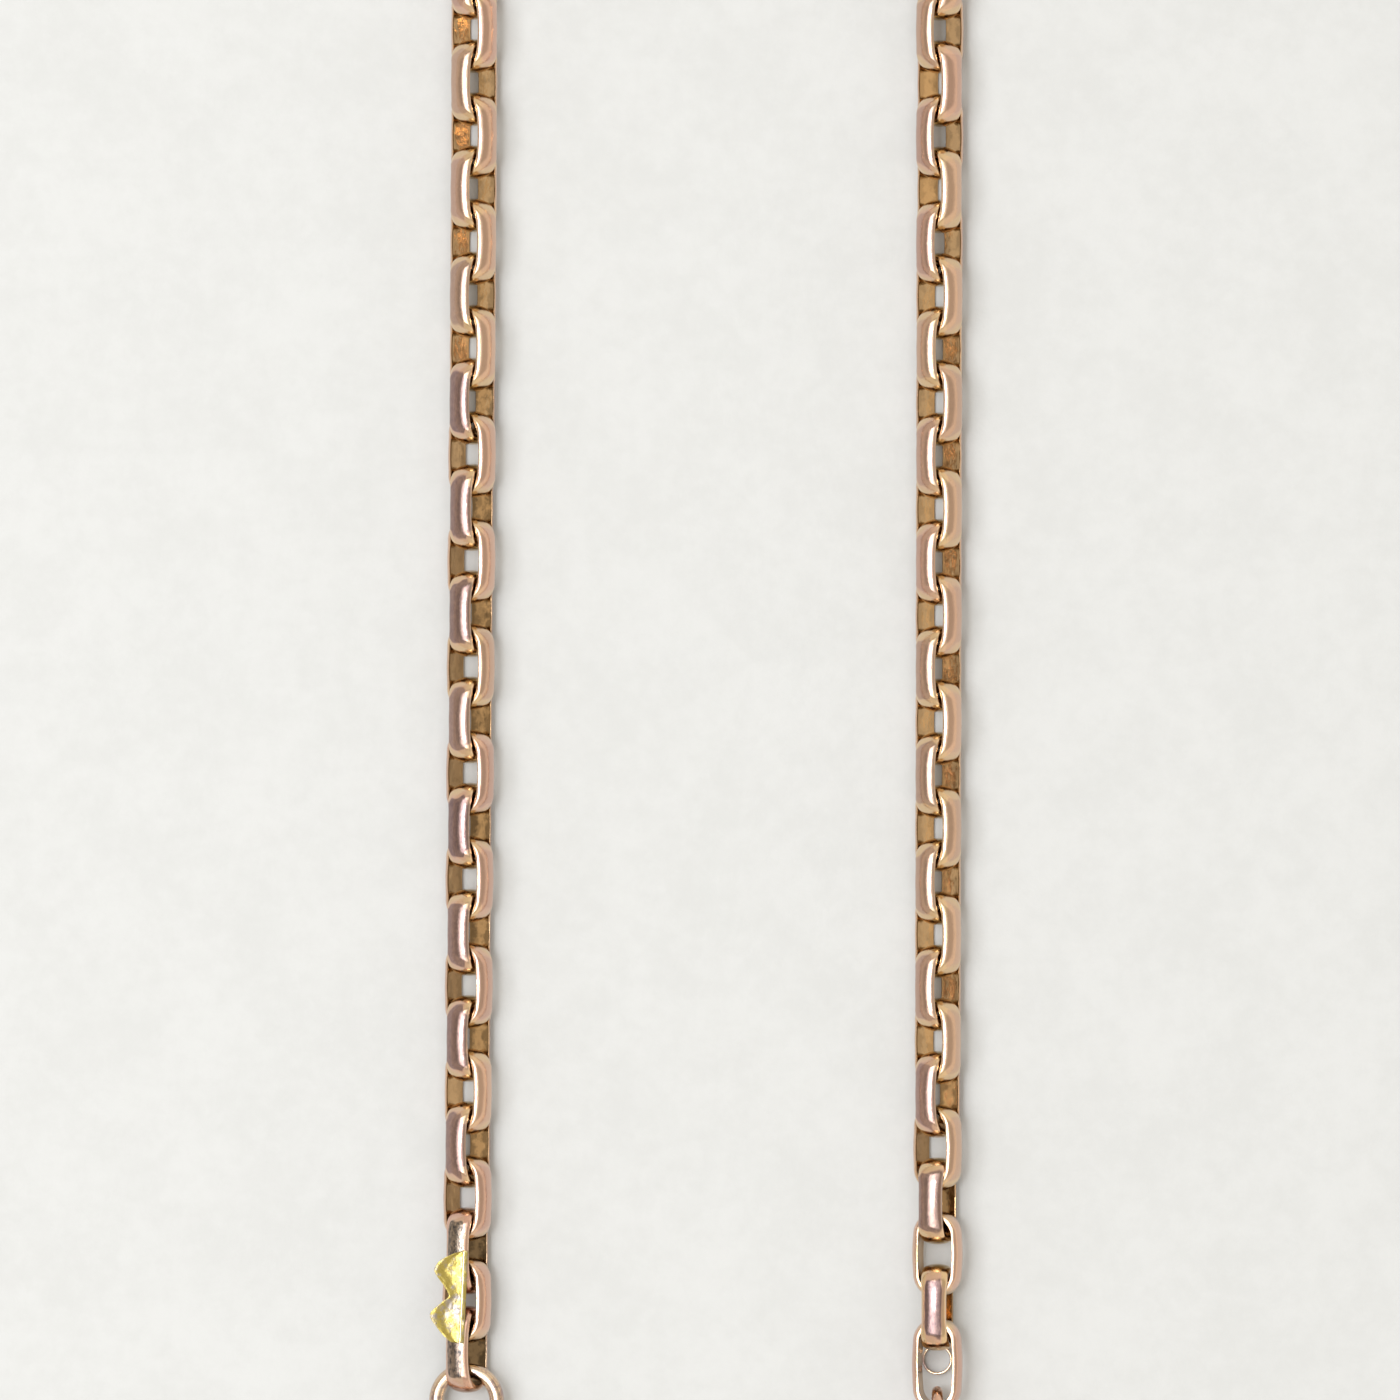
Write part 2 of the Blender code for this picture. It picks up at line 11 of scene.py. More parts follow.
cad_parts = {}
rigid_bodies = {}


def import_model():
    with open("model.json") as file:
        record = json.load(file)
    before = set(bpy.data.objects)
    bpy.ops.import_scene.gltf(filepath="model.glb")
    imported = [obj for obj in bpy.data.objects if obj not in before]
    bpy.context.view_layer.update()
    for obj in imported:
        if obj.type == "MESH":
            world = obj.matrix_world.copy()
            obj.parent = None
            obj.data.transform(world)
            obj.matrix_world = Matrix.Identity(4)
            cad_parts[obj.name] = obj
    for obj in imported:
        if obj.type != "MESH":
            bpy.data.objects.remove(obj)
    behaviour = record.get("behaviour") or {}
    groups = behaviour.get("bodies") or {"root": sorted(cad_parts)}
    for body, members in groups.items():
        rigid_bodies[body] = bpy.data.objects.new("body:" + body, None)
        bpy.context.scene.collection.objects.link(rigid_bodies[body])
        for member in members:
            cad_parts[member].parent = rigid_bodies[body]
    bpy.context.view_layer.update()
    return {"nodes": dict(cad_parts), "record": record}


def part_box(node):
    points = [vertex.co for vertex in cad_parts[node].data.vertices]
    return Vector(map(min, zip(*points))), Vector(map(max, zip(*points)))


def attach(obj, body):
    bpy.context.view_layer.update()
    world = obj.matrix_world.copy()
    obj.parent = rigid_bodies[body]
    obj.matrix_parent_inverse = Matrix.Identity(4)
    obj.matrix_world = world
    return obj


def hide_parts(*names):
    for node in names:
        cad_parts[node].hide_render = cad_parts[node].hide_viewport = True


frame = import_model()
JOINTS = {joint["name"]: joint for joint in frame["record"]["behaviour"]["joints"]}

MM = 0.001
UP = Vector((0, 0, 1))

# Edges that turn by less than this are shaded smooth.
SMOOTH_ANGLE = math.radians(38)

# The part of the chain that the camera takes in, from above.
VIEW_CENTRE = Vector((-5.44, -3.805, 2.3)) * MM
VIEW_SIDE = 140.0 * MM
CAMERA_HEIGHT = 1.4

# One link, as in the CAD: an oval loop of half-round band.
HALF_STRAIGHT = 1.90 * MM
BAND_THICKNESS = 0.80 * MM
BAND_WIDTH_SIDE = 2.50 * MM
BAND_WIDTH_END = 2.74 * MM
END_RADIUS = 2.45 * MM
SIDE_BULGE = 0.10 * MM
HOLLOW = 0.03 * MM
INNER_BEVEL = 0.10 * MM
DOME_POWER = 1.15
BAND_DENT = 0.011 * MM
WIDENING = (0.2, 0.95)
EDGE_HEIGHT_SIDE = 0.15 * MM
EDGE_HEIGHT_END = 0.36 * MM
ARC_CUTS = 22
STRAIGHT_CUTS = 12
DOME_CUTS = 16

# The fittings, as in the CAD.
END_RING_RADIUS = 3.05 * MM
END_RING_WIRE = 0.74 * MM
END_RING_TILT = math.radians(-8)
EYE_RADIUS = 1.75 * MM
EYE_WIRE = 0.54 * MM
EYE_DROP = END_RING_RADIUS + 0.28 * MM
POST_RADIUS = 0.62 * MM
POST_HEAD_RADIUS = 1.0 * MM
COLLAR_GAP = EYE_RADIUS + 1.30 * MM
COLLAR_RADIUS = 1.75 * MM
COLLAR_BORE = 0.74 * MM
COLLAR_LENGTH = 2.3 * MM
HOOK_HALF_X = 3.6 * MM
HOOK_HALF_Y = 6.1 * MM
HOOK_BAND = 1.8 * MM
HOOK_THICKNESS = 2.4 * MM
HOOK_START = math.radians(50)
HOOK_SOLID = math.radians(67)
HOOK_FOOT = math.radians(76)
HOOK_NECK = math.radians(104)
HOOK_END = math.radians(322)
HOOK_SOFT = 0.42 * MM
GATE_START = math.radians(33)
GATE_END = math.radians(-31)
GATE_BAND = 1.3 * MM
GATE_THICKNESS = 1.7 * MM
GATE_HUB_RADIUS = 1.05 * MM
CHEEK_RADIUS = 1.15 * MM
CHEEK_HALF = 1.26 * MM
SLOT_HALF = 0.50 * MM
TONGUE_HALF = 0.40 * MM
PIN_RADIUS = 0.36 * MM
SWIVEL_TILT = math.radians(3.4)
SPRING_HALF_WIDTH = 0.3 * MM
SPRING_THICKNESS = 0.18 * MM
SPRING_GAP = 0.31 * MM
SPRING_BOW = 0.25 * MM
SPRING_ROOT = math.radians(46)
SPRING_TIP = math.radians(14)
LOOSE_RING_RADIUS = 1.40 * MM
LOOSE_RING_WALL = 0.24 * MM
LOOSE_RING_WIDTH = 0.80 * MM
LOOSE_RING_TILT = math.radians(-6)
WIRE_RING_RADIUS = 2.28 * MM
WIRE_RING_STRAIGHT = 0.65 * MM
WIRE_RING_WIRE = 0.55 * MM
BAR_EYE_RADIUS = 1.62 * MM
BAR_EYE_WIRE = 0.44 * MM
BAR_NECK_RADIUS = 0.45 * MM
BAR_BORE = 1.07 * MM
BAR_COLLAR_RADIUS = 1.67 * MM
BAR_COLLAR_HALF = 0.75 * MM
BAR_HALF = 15.0 * MM
BAR_WAIST_RADIUS = 0.95 * MM
WIRE_DENT = 0.02 * MM

# The mending plate, in mm from the upper right corner of its box.
PLATE_FACE = 0.34
PLATE_LENGTH = 9.25
FOLD_START = -0.42
FOLD_SHIFT = 0.42
RIDGE_RADIUS = 0.15

# The studio: how bright its walls and ceiling are, and where each fades into the next.
WALL_LEFT = 0.80
WALL_RIGHT = 1.0
WALL_TOP = 0.26
WALL_RISE = 0.50
WALL_BLEND = 0.08
SIDE_REACH = 0.35
CEILING = 0.62
WARM_WHITE = (1.0, 0.92, 0.78)
COOL_WHITE = (0.94, 0.975, 1.0)

# Each lamp: its name, its place, its size and its power.
LAMPS = (
    ("softbox", (-0.67, 0.0, 1.28), (0.86, 1.92), 20.5),
    ("side_box", (0.09, 0.0, 1.28), (0.66, 1.92), 4.2),
    ("key", (-0.32, 0.0, 1.25), (0.25, 0.25), 3.6),
)

# A link's metal: its flank, its ends, the inside of the band and the patina, which on links that face
# left also stands in for a painted dark reflection.
ROSE_LINK = ((0.72, 0.47, 0.365), (0.74, 0.54, 0.33), (0.56, 0.35, 0.17), (0.21, 0.14, 0.145))
WORN_LINK = ((0.72, 0.53, 0.42), (0.70, 0.44, 0.34), (0.36, 0.24, 0.13), (0.055, 0.052, 0.055))
# A painted highlight: the brighter colour along the band's outer edges.
EDGE_HIGHLIGHT_PAINT = (0.95, 0.78, 0.62)

# A fitting's metal: its clean colour, its stain and the grime in its pits, which also paints the
# shade on steep sides where a fitting asks for it.
PALE_GOLD = ((0.70, 0.53, 0.38), (0.40, 0.29, 0.27), (0.16, 0.11, 0.10))
YELLOW_BRASS = ((0.54, 0.43, 0.12), (0.43, 0.38, 0.36), (0.11, 0.09, 0.03))
BRIGHT_BRASS = ((0.86, 0.76, 0.46), (0.70, 0.58, 0.26), (0.30, 0.24, 0.08))
ROSE_FITTING = ((0.72, 0.47, 0.35), (0.56, 0.37, 0.26), (0.16, 0.10, 0.07))
SPRING_STEEL = ((0.46, 0.46, 0.48), (0.34, 0.32, 0.32), (0.10, 0.09, 0.08))
PAPER = ((0.518, 0.520, 0.520), (0.546, 0.548, 0.550))

# The fold: a half circle between the two strands, whose links ride on one body.
FOLD_RADIUS = 23.25 * MM
FOLD_LINK = 9
PITCH_LEFT = 5.31 * MM
PITCH_RIGHT = 5.32 * MM
FOLD_ROLLS = {-1: 45, 1: 52}

# Links are numbered from the middle of the fold, below 0 on the left strand.
# Both strands are duller from about the first of these numbers on, and fully from the second.
STRAND_LINKS = 24
HANDLED_LEFT = (11, 15)
HANDLED_RIGHT = (26, 28)
RIMMED_LINKS = (-31, -33, 32)
PINK_FROM = 32


# ---- meshes -------------------------------------------------------------------------------------


def piece(name, build, body, nodes, look):
    """A visible piece from a function that fills a bmesh, riding on a body in place of CAD nodes."""
    bm = bmesh.new()
    build(bm)
    bmesh.ops.recalc_face_normals(bm, faces=bm.faces)
    for face in bm.faces:
        face.smooth = True
    for edge in bm.edges:
        edge.smooth = edge.calc_face_angle(0) < SMOOTH_ANGLE
    mesh = bpy.data.meshes.new(name)
    bm.to_mesh(mesh)
    bm.free()
    obj = bpy.data.objects.new(name, mesh)
    bpy.context.scene.collection.objects.link(obj)
    mesh.materials.append(look)
    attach(obj, body)
    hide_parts(*nodes)
    return obj


def skin(bm, rings, closed):
    """Quads between rings of points, and a cap at each end of an open run."""
    rows = [[bm.verts.new(point) for point in ring] for ring in rings]
    following = rows[1:] + rows[:1] if closed else rows[1:]
    for first, second in zip(rows, following):
        count = len(first)
        for i in range(count):
            k = (i + 1) % count
            bm.faces.new((first[i], first[k], second[k], second[i]))
    if not closed:
        bm.faces.new(rows[0][::-1])
        bm.faces.new(rows[-1])


def spread(start, end, count):
    """Evenly spaced values from start to end, both included."""
    return [start + (end - start) * i / (count - 1) for i in range(count)]


def ease(value, start, end):
    """0 before start, 1 after end, smooth between."""
    share = min(max((value - start) / (end - start), 0), 1)
    return share * share * (3 - 2 * share)


# ---- links --------------------------------------------------------------------------------------


def band_section(width, edge_height):
    """(outwards, sideways, inner) round the band: barely hollow inside, bevelled, domed outside.

    `inner` is 1 on the inside face, less round the bevels and 0 outside.
    """
    half = width / 2
    rise = BAND_THICKNESS - edge_height
    dome = []
    for turn in spread(math.pi / 2, -math.pi / 2, DOME_CUTS + 1):
        out = edge_height + rise * math.cos(turn) ** DOME_POWER
        dome.append((out, half * math.sin(turn), 0))
    bevel = INNER_BEVEL
    corner = [(0.3 * bevel, half - 0.3 * bevel, 0.9), (bevel, half, 0.4)]
    right = [(HOLLOW * (1 - u * u), half * u, 1) for u in (0.25, 0.5, 0.72, 0.88)]
    right += [(0, half - bevel, 1)] + corner
    left = [(out, -side, inner) for out, side, inner in reversed(right)]
    return right + dome + left + [(HOLLOW, 0, 1)]


class Link:
    """Where one link lies: its centre, its axes and half the length of its straight sides."""

    def __init__(self, centre, along, normal, half_straight, number):
        across = normal.cross(along).normalized()
        if across.z < 0:
            across = -across
        self.centre = centre
        self.along = along
        self.across = across
        self.normal = along.cross(across)
        self.half_straight = half_straight
        self.number = number


def loop_stations(link):
    """(hub, outward direction, distance to the inner face, endness, flatness) round the loop."""
    stations = []
    whole = link.half_straight + END_RADIUS
    inner = END_RADIUS - BAND_THICKNESS
    for end in (1, -1):
        hub = link.centre + end * link.half_straight * link.along
        for turn in spread(-math.pi / 2, math.pi / 2, ARC_CUTS + 1):
            out = end * (math.cos(turn) * link.along + math.sin(turn) * link.across)
            share = (link.half_straight + END_RADIUS * math.cos(turn)) / whole
            stations.append((hub, out, inner, math.cos(turn), ease(share, *WIDENING)))
        side = end * link.across
        for share in spread(0, 1, STRAIGHT_CUTS + 1)[1:-1]:
            place = link.centre + end * (1 - 2 * share) * link.half_straight * link.along
            bulge = SIDE_BULGE * math.sin(math.pi * share)
            share = abs(1 - 2 * share) * link.half_straight / whole
            stations.append((place, side, inner + bulge, 0, ease(share, *WIDENING)))
    return stations


def link_rings(link):
    """Rings of points round the band, and each point's (endness, sideways, inner).

    `endness` is 0 along the sides and 1 at the ends. `sideways` is 1 at the band's upper edge and
    -1 at its lower edge.
    """
    rings = []
    marks = []
    upward = 1 if link.normal.z > 0 else -1
    for hub, out, inner, endness, flat in loop_stations(link):
        width = BAND_WIDTH_SIDE + (BAND_WIDTH_END - BAND_WIDTH_SIDE) * flat
        edge_height = EDGE_HEIGHT_SIDE + (EDGE_HEIGHT_END - EDGE_HEIGHT_SIDE) * flat
        ring = []
        for rise, side, inside in band_section(width, edge_height):
            point = hub + (inner + rise) * out + side * link.normal
            if not inside and rise > edge_height:
                wave = noise.noise(point * 420) + 0.5 * noise.noise(point * 1100)
                point += out * wave * BAND_DENT
            ring.append(point)
            marks.append((endness, upward * 2 * side / width, inside))
        rings.append(ring)
    return rings, marks


def add_link(name, link, body, nodes, look):
    """One link's band, with the numbers that its metal reads at each point."""
    rings, marks = link_rings(link)
    obj = piece(name, lambda bm: skin(bm, rings, True), body, nodes, look)
    attribute = obj.data.attributes.new("band", "FLOAT_VECTOR", "POINT")
    attribute.data.foreach_set("vector", [value for mark in marks for value in mark])
    attribute = obj.data.attributes.new("look", "FLOAT_VECTOR", "POINT")
    attribute.data.foreach_set("vector", link_look(link) * len(marks))


def link_look(link):
    """How dull, how yellow and how rimmed a link is. The ones that face left are duller: their patina
    also paints the dark reflection on their domes.
    """
    number = link.number
    chance = random.Random(number)
    handled = ease(-number, *HANDLED_LEFT) if number < 0 else ease(number, *HANDLED_RIGHT)
    # Links that face left get more patina: this paints the dark reflection on their domes, on top of
    # the patina that grows along the strands.
    if link.across.x < 0:
        dullness = chance.uniform(0.25, 0.5) + handled * chance.uniform(0.4, 0.5)
    else:
        dullness = chance.uniform(0.05, 0.25)
    rimmed = chance.uniform(0.0, 0.35)
    yellowness = chance.uniform(-0.5, 1.0)
    # Link 32's full patina also paints the dark reflection on its dome.
    if number in RIMMED_LINKS:
        dullness, rimmed = 1.0, 1.0
    if number >= PINK_FROM:
        yellowness = -0.5
    return [dullness, yellowness, rimmed]


def box_centre(node):
    low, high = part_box(node)
    return (low + high) / 2


def strand_links():
    """Every single link, by node. Each points at the hinge of the piece that hangs from it."""
    hung = {joint["parent"]: joint for joint in JOINTS.values() if joint["type"] == "hinge"}
    links = {}
    for side, word in ((-1, "left"), (1, "right")):
        for count in range(1, STRAND_LINKS + 1):
            plain = f"link_{word}_{count:02d}"
            node = plain if plain in frame["nodes"] else "worn_" + plain
            joint = hung[node]
            centre = box_centre(node)
            reach = Vector(joint["pos_m"]) - centre
            normal = Vector(joint["axis"])
            number = side * (count + FOLD_LINK)
            links[node] = Link(centre, reach.normalized(), normal, reach.length, number)
    return links


def fold_path(number):
    """A link's place on the fold from the middle of its half circle, and the direction of travel."""
    along = number * (PITCH_LEFT if number < 0 else PITCH_RIGHT)
    quarter = FOLD_RADIUS * math.pi / 2
    turn = max(-quarter, min(quarter, along)) / FOLD_RADIUS
    travel = Vector((math.cos(turn), -math.sin(turn), 0))
    place = FOLD_RADIUS * Vector((math.sin(turn), math.cos(turn), 0))
    return place + travel * (along - turn * FOLD_RADIUS), travel


def fold_links():
    """The fold's links, on the path that runs through both ends of the body."""
    links = []
    middles = {}
    for side, word in ((-1, "left"), (1, "right")):
        joint = JOINTS[f"link_{word}_01_swing"]
        place, travel = fold_path(side * FOLD_LINK)
        middles[side] = Vector(joint["pos_m"]) - place - side * travel * HALF_STRAIGHT
    for number in range(-FOLD_LINK, FOLD_LINK + 1):
        side = -1 if number < 0 else 1
        place, travel = fold_path(number)
        odd = number % 2
        steep = FOLD_ROLLS[side] - 45
        roll = math.radians(45 + (steep if odd else -steep))
        sideways = UP.cross(travel) * (1 if odd else -1)
        across = math.cos(roll) * sideways + math.sin(roll) * UP
        centre = middles[side] + place
        links.append(Link(centre, travel, travel.cross(across), HALF_STRAIGHT, number))
    return links


# ---- shared shapes ------------------------------------------------------------------------------


def circle(centre, across, up, radius, count):
    turns = spread(0, 2 * math.pi, count + 1)[:-1]
    return [centre + radius * (math.cos(t) * across + math.sin(t) * up) for t in turns]


def wire_ring(bm, centre, out, side, radius, wire, straight=0.0, cuts=96):
    """A ring of round wire in the plane of `out` and `side`, lengthened along `out`."""
    normal = out.cross(side)
    rings = []
    for turn in spread(0, 2 * math.pi, cuts + 1)[:-1]:
        away = math.cos(turn) * out + math.sin(turn) * side
        shift = straight * max(-1, min(1, 4 * math.cos(turn))) * out
        dent = WIRE_DENT * noise.noise((centre + radius * away) * 300)
        rings.append(circle(centre + shift + (radius + dent) * away, away, normal, wire, 28))
    skin(bm, rings, True)


def turned(bm, start, direction, profile, sides=56):
    """A solid turned round an axis, from (distance along it, radius) pairs."""
    direction = direction.normalized()
    across = direction.orthogonal().normalized()
    up = direction.cross(across)
    skin(bm, [circle(start + d * direction, across, up, r, sides) for d, r in profile], False)


def bored(bm, start, direction, profile, bore, sides=56):
    """A turned solid with a round hole right through it."""
    direction = direction.normalized()
    across = direction.orthogonal().normalized()
    up = direction.cross(across)
    soft = 0.08 * MM
    first, last = profile[0][0], profile[-1][0]
    walls = [(last, bore + soft), (last - soft, bore), (first + soft, bore), (first, bore + soft)]
    rings = [circle(start + d * direction, across, up, r, sides) for d, r in profile + walls]
    skin(bm, rings, True)


def rounded(half_length, radius, soft):
    """Profile of a short cylinder with rounded rims."""
    turns = spread(0, math.pi / 2, 6)
    rim = [(soft * (1 - math.cos(t)), radius - soft * (1 - math.sin(t))) for t in turns]
    rise = [(d - half_length, r) for d, r in rim]
    return rise + [(-d, r) for d, r in reversed(rise)]


def smooth_profile(points, cuts=6):
    """The same profile with rounded corners: a curve through its (distance, radius) points."""
    points = [points[0]] + list(points) + [points[-1]]
    curve = []
    for a, b, c, d in zip(points, points[1:], points[2:], points[3:]):
        for share in spread(0, 1, cuts + 1)[:-1]:
            curve.append(tuple(blend(*values, share) for values in zip(a, b, c, d)))
    return curve + [tuple(points[-1])]


def blend(a, b, c, d, share):
    """A curve from b to c that leaves towards c - a and arrives along d - b."""
    square = share * share
    cube = square * share
    ends = (2 * cube - 3 * square + 1) * b + (3 * square - 2 * cube) * c
    slopes = (cube - 2 * square + share) * (c - a) + (cube - square) * (d - b)
    return ends + 0.4 * slopes


# ---- fittings on the left end -------------------------------------------------------------------


class Swivel:
    """Places on the swivel, which hangs from the end ring with its far end on the table."""

    def __init__(self):
        self.eye = box_centre("end_ring") - Vector((0, EYE_DROP, 0))
        self.tilt = Matrix.Rotation(SWIVEL_TILT, 3, "X")
        self.down = self.tilt @ Vector((0, -1, 0))
        self.up = self.tilt @ UP
        self.collar = self.eye + COLLAR_GAP * self.down
        drop = COLLAR_LENGTH - HOOK_BAND / 2 + HOOK_HALF_Y
        self.centre = self.collar + drop * self.down

    def oval(self, turn, out=0.0):
        """A point on the hook's oval, `out` beyond its middle line."""
        middle = Vector((HOOK_HALF_X * math.cos(turn), HOOK_HALF_Y * math.sin(turn), 0))
        away = Vector((math.cos(turn) / HOOK_HALF_X, math.sin(turn) / HOOK_HALF_Y, 0))
        return self.centre + self.tilt @ (middle + out * away.normalized())

    def bar(self, bm, turns, band, low, high, soft, taper=0.0):
        """A bar of rounded section that follows the oval. Its ends close in by `taper`."""
        section = rounded_box(band / 2, (high - low) / 2, soft)
        middle = (low + high) / 2
        rings = []
        for order, turn in enumerate(turns):
            from_end = min(order, len(turns) - 1 - order) / 3
            size = 1 - taper * max(0, 1 - from_end) ** 2
            points = [(size * out, middle + size * rise) for out, rise in section]
            rings.append([self.oval(turn, out) + rise * self.up for out, rise in points])
        skin(bm, rings, False)


def rounded_box(half_out, half_rise, soft):
    """Points of a box section with round corners."""
    points = []
    for out_sign, rise_sign, start in ((1, 1, 0), (-1, 1, 90), (-1, -1, 180), (1, -1, 270)):
        for turn in spread(start, start + 90, 6):
            t = math.radians(turn)
            out = out_sign * (half_out - soft) + soft * math.cos(t)
            points.append((out, rise_sign * (half_rise - soft) + soft * math.sin(t)))
    return points


def end_ring(bm):
    side = Matrix.Rotation(END_RING_TILT, 3, "Y") @ Vector((1, 0, 0))
    along = Vector((0, 1, 0))
    wire_ring(bm, box_centre("end_ring"), along, side, END_RING_RADIUS, END_RING_WIRE, cuts=128)


def swivel_eye(bm):
    swivel = Swivel()
    wire_ring(bm, swivel.eye, swivel.down, swivel.up, EYE_RADIUS, EYE_WIRE)
    reach = COLLAR_GAP + COLLAR_LENGTH + 0.15 * MM
    head = POST_HEAD_RADIUS
    profile = [
        (EYE_RADIUS, POST_RADIUS),
        (EYE_RADIUS + 0.72 * MM, POST_RADIUS),
        (reach, POST_RADIUS),
        (reach + 0.02 * MM, head - 0.06 * MM),
        (reach + 0.08 * MM, head),
        (reach + 0.50 * MM, head),
        (reach + 0.68 * MM, 0.86 * head),
        (reach + 0.78 * MM, 0.5 * head),
    ]
    turned(bm, swivel.eye, swivel.down, profile)


def hook_collar(bm):
    swivel = Swivel()
    radius = COLLAR_RADIUS
    profile = [
        (0, radius - 0.42 * MM),
        (0.10 * MM, radius - 0.26 * MM),
        (0.32 * MM, radius - 0.04 * MM),
        (0.45 * MM, radius),
        (0.72 * MM, radius),
        (0.80 * MM, radius - 0.10 * MM),
        (0.92 * MM, radius - 0.10 * MM),
        (1.00 * MM, radius),
        (COLLAR_LENGTH - 0.15 * MM, radius),
        (COLLAR_LENGTH, radius - 0.15 * MM),
    ]
    bored(bm, swivel.collar, swivel.down, profile, COLLAR_BORE)


def hook_bar(bm):
    """The hook in two runs, on each side of the collar. Its free end is the more rounded one."""
    swivel = Swivel()
    half = HOOK_THICKNESS / 2
    for turns, taper in (
        (spread(HOOK_SOLID, HOOK_FOOT, 8), 0.05),
        (spread(HOOK_NECK, HOOK_END, 90), 0.25),
    ):
        swivel.bar(bm, turns, HOOK_BAND, -half, half, HOOK_SOFT, taper)


def hook_cheeks(bm):
    """The two ears that hold the gate's pin, above and below the gate's tongue."""
    swivel = Swivel()
    thickness = CHEEK_HALF - SLOT_HALF
    for side in (1, -1):
        middle = side * (CHEEK_HALF + SLOT_HALF) / 2
        place = swivel.oval(HOOK_START) + middle * swivel.up
        turned(bm, place, swivel.up, rounded(thickness / 2, CHEEK_RADIUS, 0.2 * MM))
        low, high = sorted((side * SLOT_HALF, side * HOOK_THICKNESS / 2))
        turns = spread(HOOK_START, HOOK_SOLID + math.radians(2), 10)
        swivel.bar(bm, turns, HOOK_BAND - 0.02 * MM, low, high, 0.2 * MM)


def gate(bm):
    """The gate's bar, the thinner tongue behind it and the hub round the pin."""
    swivel = Swivel()
    half = GATE_THICKNESS / 2
    swivel.bar(bm, spread(GATE_START, GATE_END, 40), GATE_BAND, -half, half, 0.3 * MM, 0.15)
    turns = spread(HOOK_START, GATE_START - math.radians(4), 10)
    swivel.bar(bm, turns, GATE_BAND - 0.04 * MM, -TONGUE_HALF, TONGUE_HALF, 0.12 * MM)
    hub = rounded(TONGUE_HALF, GATE_HUB_RADIUS, 0.1 * MM)
    turned(bm, swivel.oval(HOOK_START), swivel.up, hub)


def gate_pin(bm):
    swivel = Swivel()
    dome = [(CHEEK_HALF - 0.02 * MM, PIN_RADIUS), (CHEEK_HALF + 0.02 * MM, 0.7 * PIN_RADIUS)]
    profile = [(-d, r) for d, r in reversed(dome)] + dome
    turned(bm, swivel.oval(HOOK_START), swivel.up, profile, 32)


def gate_spring(bm):
    """A leaf that follows the gate on its inner side, bowed away from it at the root."""
    swivel = Swivel()
    half = SPRING_HALF_WIDTH * swivel.up
    rings = []
    for turn in spread(SPRING_ROOT, SPRING_TIP, 24):
        bend = SPRING_BOW * ease(turn, math.radians(17), math.radians(52))
        outer = -GATE_BAND / 2 - SPRING_GAP - bend
        near = swivel.oval(turn, outer)
        far = swivel.oval(turn, outer - SPRING_THICKNESS)
        rings.append([near + half, far + half, far - half, near - half])
    skin(bm, rings, False)


def plate_edge():
    """Left edge of the mending plate, from its upper right corner: two pointed lobes and a notch."""
    upper_lobe = [(-1.72, -0.40), (-2.82, -1.00), (-3.37, -1.80), (-3.12, -2.50), (-2.47, -3.40)]
    notch = [(-1.91, -4.50), (-2.57, -5.10)]
    lower_lobe = [(-3.42, -5.80), (-3.82, -6.40), (-3.47, -7.15), (-2.67, -8.20), (-1.87, -9.00)]
    edge = [(-0.57, 0.0)] + upper_lobe + notch + lower_lobe + [(-0.97, -PLATE_LENGTH)]
    return smooth_profile(edge, 5)


def plate_height(share, reach, fold):
    """Height of the cupped face: up to its tip at share 0, down, then up to the fold at 1."""
    tip = (0.05 + 0.14 * reach) * (1 - ease(share, 0.0, 0.55))
    return tip + fold * ease(share, 0.72, 0.98) - 0.02


def plate_fold(y):
    """Where the fold runs at this height, across from the plate's right corner, in mm."""
    return FOLD_START + FOLD_SHIFT * y / PLATE_LENGTH


def plate_corner():
    """The upper right corner of the plate's box, at its lowest height."""
    low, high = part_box("mending_plate")
    return Vector((high.x, high.y, low.z))


def plate_section(x, y):
    """(across, rise) round the plate at this height: its face with the fold, then the rest."""
    fold = plate_fold(y)
    reach = max(fold - x, 0.1)
    face = []
    for share in spread(0, 1, 24):
        across = x + share * (fold - x)
        face.append((across, plate_height(share, reach, 0.06) + PLATE_FACE))
    face += [(fold + 0.14, 0.38), (fold + 0.29, 0.34), (fold + 0.40, 0.25)]
    under = [(fold + 0.42, 0.05), (fold + 0.1, 0.02)]
    for share in (0.6, 0.3, 0):
        under.append((x + share * (fold - x), plate_height(share, reach, 0.03)))
    bevel = [(x - 0.02, face[0][1] - 0.20), (x - 0.02, face[0][1] - 0.08)]
    return face, under + bevel


def mending_plate(bm):
    """The plate's face: cupped lobes that rise to their tips, with rough hammered metal."""
    corner = plate_corner()
    rings = []
    for x, y in plate_edge():
        face, rest = plate_section(x, y)
        ring = []
        for order, (across, rise) in enumerate(face + rest):
            point = corner + Vector((across, y, rise)) * MM
            rough = 0.07 * noise.noise(point * 1300) + 0.05 * noise.noise(point * 3100)
            point.z += rough * MM if 1 < order < len(face) else 0
            ring.append(point)
        rings.append(ring)
    skin(bm, rings, False)


def plate_ridge(bm):
    """The bright rounded fold down the plate's right side."""
    corner = plate_corner()
    rings = []
    for y in spread(-0.10, 0.10 - PLATE_LENGTH, 60):
        wave = 0.03 * noise.noise(Vector((0, y * 1.5, 0)))
        centre = corner + Vector((plate_fold(y) + 0.02 + wave, y, PLATE_FACE)) * MM
        radius = (RIDGE_RADIUS + wave / 2) * MM
        rings.append(circle(centre, Vector((1, 0, 0)), UP, radius, 16))
    skin(bm, rings, False)


# ---- fittings on the right end ------------------------------------------------------------------


